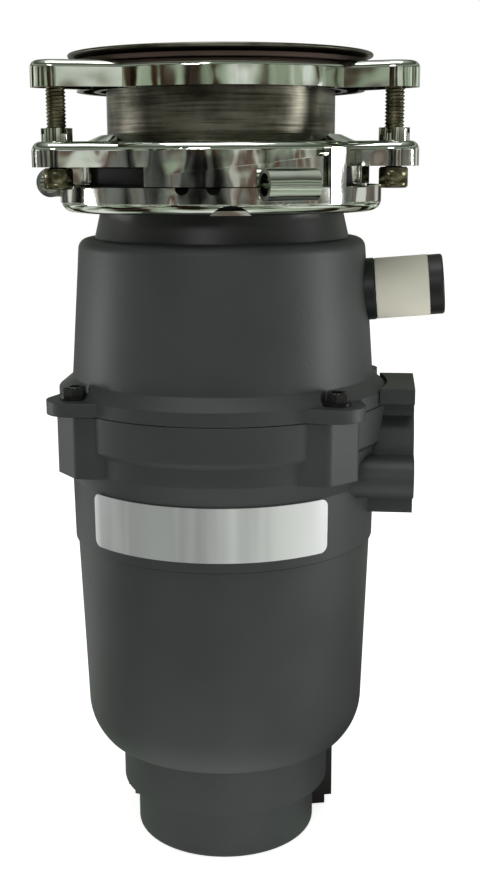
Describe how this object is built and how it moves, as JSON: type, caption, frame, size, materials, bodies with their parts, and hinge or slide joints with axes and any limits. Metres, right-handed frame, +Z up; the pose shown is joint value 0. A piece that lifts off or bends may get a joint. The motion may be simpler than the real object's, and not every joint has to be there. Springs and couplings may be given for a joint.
{
  "type": "garbage disposal",
  "caption": "Under-sink food waste disposer: charcoal moulded housing, side discharge and dishwasher inlet, chrome screw-clamped sink mount with a turning lock ring",
  "frame": {"origin": "centre of the base face that the part stands on, on the shaft axis", "axes": "+Z up along the shaft to the sink, +X along the discharge outlet, -Y to the nameplate side"},
  "size_m": [0.1566, 0.1433, 0.3109],
  "materials": {
    "charcoal_plastic": "matte",
    "black_plastic": "satin",
    "black_screws": "gloss",
    "stainless_steel": "brushed",
    "chrome": "polished",
    "yellow_nickel": "dull plated",
    "plain_steel": "satin",
    "ferrite": "matte",
    "copper": "varnished",
    "rubber": "matte",
    "aluminium": "brushed",
    "paper": "matte",
    "fibre": "matte",
    "red_plastic": "gloss"
  },
  "bodies": {
    "disposer": {"bottom_cap": "charcoal_plastic", "brush_holders": "black_plastic", "brush_springs": "plain_steel", "brushes": "ferrite", "cap_screws": "black_screws", "chamber_seal": "rubber", "cord_bushing": "rubber", "cover_screws": "black_screws", "cushion_mount": "rubber", "dishwasher_inlet": "black_plastic", "drain_housing": "charcoal_plastic", "grind_hopper": "black_plastic", "grind_ring": "stainless_steel", "hopper_housing": "charcoal_plastic", "housing_screws": "black_screws", "inlet_label": "paper", "knockout_plug": "black_plastic", "lower_bearing": "plain_steel", "lower_end_bell": "plain_steel", "motor_can": "plain_steel", "motor_casing": "charcoal_plastic", "mounting_ring": "chrome", "nameplate": "aluminium", "overload_protector": "black_plastic", "rectifier": "black_plastic", "shaft_seal": "rubber", "sink_flange": "stainless_steel", "snap_ring": "plain_steel", "splash_guard": "rubber", "stator_magnets": "ferrite", "terminal_cover": "black_plastic", "upper_bearing": "plain_steel", "upper_end_bell": "plain_steel"},
    "backup": {"backup_ring": "chrome", "fibre_gasket": "fibre"},
    "screw_1": {"mounting_screw_1": "yellow_nickel"},
    "screw_2": {"mounting_screw_2": "yellow_nickel"},
    "screw_3": {"mounting_screw_3": "yellow_nickel"},
    "lock": {"lock_ring": "chrome"},
    "grinder": {"turntable": "stainless_steel", "impeller_pins": "stainless_steel", "turntable_nut": "plain_steel", "rotor_shaft": "plain_steel", "armature_core": "plain_steel", "armature_windings": "copper", "commutator": "copper"},
    "lug_1": {"impeller_1": "stainless_steel"},
    "lug_2": {"impeller_2": "stainless_steel"},
    "button": {"reset_button": "red_plastic"}
  },
  "joints": [
    {"name": "backup_ring_slide", "type": "slide", "parent": "disposer", "child": "backup", "axis": [0, 0, 1], "range_m": [-0.011, 0]},
    {"name": "mounting_screw_1_turn", "type": "hinge", "parent": "backup", "child": "screw_1", "pos_m": [0.06495, -0.023, 0.28], "axis": [0, 0, 1], "range_deg": [-3180, 0]},
    {"name": "mounting_screw_2_turn", "type": "hinge", "parent": "backup", "child": "screw_2", "pos_m": [-0.01256, 0.06775, 0.28], "axis": [0, 0, 1], "range_deg": [-3180, 0]},
    {"name": "mounting_screw_3_turn", "type": "hinge", "parent": "backup", "child": "screw_3", "pos_m": [-0.05239, -0.04475, 0.28], "axis": [0, 0, 1], "range_deg": [-3180, 0]},
    {"name": "lock_ring_turn", "type": "hinge", "parent": "disposer", "child": "lock", "pos_m": [0, 0, 0.26], "axis": [0, 0, 1], "range_deg": [-63, 0]},
    {"name": "turntable_spin", "type": "hinge", "parent": "disposer", "child": "grinder", "pos_m": [0, 0, 0.12], "axis": [0, 0, 1], "continuous": true},
    {"name": "impeller_1_swing", "type": "hinge", "parent": "grinder", "child": "lug_1", "pos_m": [0, -0.024, 0.193], "axis": [0, 0, 1], "continuous": true},
    {"name": "impeller_2_swing", "type": "hinge", "parent": "grinder", "child": "lug_2", "pos_m": [0, 0.024, 0.193], "axis": [0, 0, 1], "continuous": true},
    {"name": "reset_button_press", "type": "slide", "parent": "disposer", "child": "button", "axis": [0, 0, 1], "range_m": [0, 0.0025], "stiffness_N_per_m": 400, "springref_m": -0.002}
  ],
  "couplings": [
    {"joint": "mounting_screw_1_turn", "follows": "backup_ring_slide", "rad_per_m": 5026.5},
    {"joint": "mounting_screw_2_turn", "follows": "backup_ring_slide", "rad_per_m": 5026.5},
    {"joint": "mounting_screw_3_turn", "follows": "backup_ring_slide", "rad_per_m": 5026.5}
  ]
}
